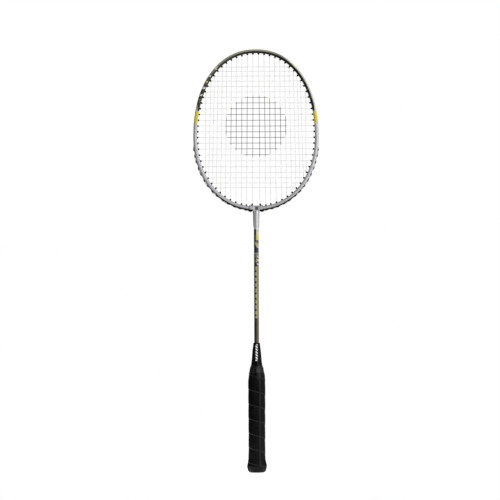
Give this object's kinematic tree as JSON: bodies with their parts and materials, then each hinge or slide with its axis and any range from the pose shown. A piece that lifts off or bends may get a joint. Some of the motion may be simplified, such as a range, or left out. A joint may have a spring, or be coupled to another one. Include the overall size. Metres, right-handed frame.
{
  "type": "badminton racket",
  "caption": "Badminton racket with an oval strung hoop, a T-joint, a slender round shaft, a tapered cone and a wrapped octagonal handle with a flared butt.",
  "frame": {"origin": "middle of the flat butt end of the handle", "axes": "+Z along the shaft from the butt to the head, +X across the face, +Y through the string bed"},
  "size_m": [0.2018, 0.0318, 0.675],
  "materials": {
    "hoop_paint": "silver metallic lacquer on carbon composite, black above a yellow band",
    "joint_paint": "silver metallic lacquer",
    "shaft_paint": "dark lacquer with an olive-gold stripe on carbon composite",
    "grommet": "black nylon",
    "inner_plastic": "moulded, unseen",
    "pin_steel": "dark",
    "staple_steel": "plain wire",
    "string": "white braided nylon",
    "cone_gloss": "gloss black moulded cap",
    "handle_wood": "bare",
    "grip": "black polyurethane wrap",
    "band": "black vinyl tape",
    "butt_plastic": "black moulded"
  },
  "bodies": {
    "root": {"head_frame": "hoop_paint", "hoop_plug": "inner_plastic", "t_joint": "joint_paint", "t_joint_pin": "pin_steel", "main_string": "string", "cross_string": "string", "shaft": "shaft_paint", "cone_cap": "cone_gloss", "handle_core": "handle_wood", "grip_staple": "staple_steel", "grip_tape": "grip", "finishing_tape": "band", "butt_cap": "butt_plastic", "grommets_bottom_right": "grommet", "grommets_bottom_left": "grommet", "grommets_lower_corner_right": "grommet", "grommets_lower_corner_left": "grommet", "grommets_low_side_right": "grommet", "grommets_low_side_left": "grommet", "grommets_middle_side_right": "grommet", "grommets_middle_side_left": "grommet", "grommets_high_side_right": "grommet", "grommets_high_side_left": "grommet", "grommets_upper_corner_right": "grommet", "grommets_upper_corner_left": "grommet", "grommets_shoulder_right": "grommet", "grommets_shoulder_left": "grommet", "grommets_top": "grommet"}
  },
  "joints": []
}
